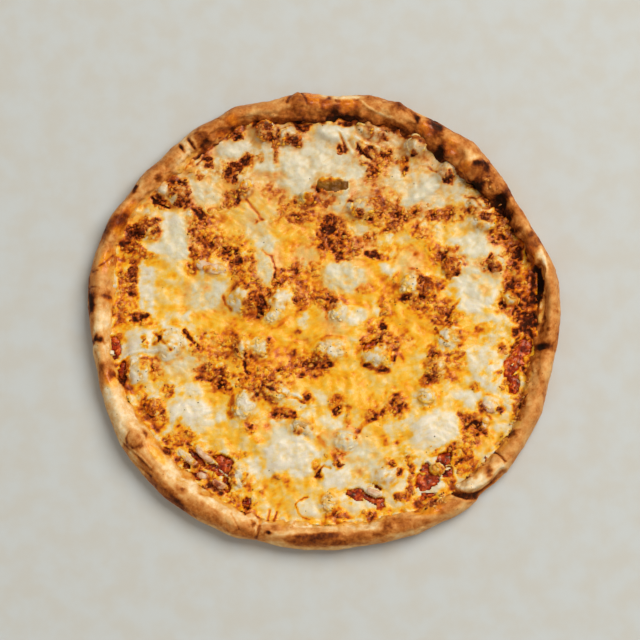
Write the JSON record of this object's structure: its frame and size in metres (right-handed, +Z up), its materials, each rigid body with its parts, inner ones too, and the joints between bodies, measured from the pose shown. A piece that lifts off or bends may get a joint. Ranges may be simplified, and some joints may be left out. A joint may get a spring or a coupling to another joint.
{
  "type": "philly cheesesteak pizza",
  "caption": "Round oven-baked pizza with a risen, blistered crust, tomato sauce, browned melted cheese, chopped steak, mushroom and onion.",
  "frame": {"origin": "middle of the pizza's outline box, on the surface that it rests on", "axes": "+Z up, out of the topped face; -Y is the edge nearest the viewer in the picture and +X is the viewer's right"},
  "size_m": [0.305, 0.2996, 0.024],
  "materials": {
    "crust": "baked dough, matte, browned and charred in patches",
    "sauce": "wet tomato sauce, glossy",
    "cheese": "melted cheese, oily, from cream to toasted orange and brown",
    "meat": "chopped cooked steak, peppered, satin",
    "mushroom": "cooked mushroom slice, satin",
    "onion": "cooked onion, glossy and slightly see-through"
  },
  "bodies": {
    "root": {"cheese": "cheese", "crust": "crust", "meat_01": "meat", "meat_02": "meat", "meat_03": "meat", "meat_04": "meat", "meat_05": "meat", "meat_06": "meat", "meat_07": "meat", "meat_08": "meat", "meat_09": "meat", "meat_10": "meat", "meat_11": "meat", "meat_12": "meat", "meat_13": "meat", "meat_14": "meat", "meat_15": "meat", "meat_16": "meat", "meat_17": "meat", "meat_18": "meat", "meat_19": "meat", "meat_20": "meat", "meat_21": "meat", "meat_22": "meat", "meat_23": "meat", "meat_24": "meat", "meat_25": "meat", "meat_26": "meat", "meat_27": "meat", "meat_28": "meat", "meat_29": "meat", "meat_30": "meat", "meat_31": "meat", "meat_32": "meat", "meat_33": "meat", "meat_34": "meat", "mushroom_01": "mushroom", "mushroom_02": "mushroom", "mushroom_03": "mushroom", "mushroom_04": "mushroom", "mushroom_05": "mushroom", "onion_01": "onion", "onion_02": "onion", "onion_03": "onion", "onion_04": "onion", "onion_05": "onion", "onion_06": "onion", "onion_07": "onion", "onion_08": "onion", "onion_09": "onion", "sauce": "sauce"}
  },
  "joints": []
}
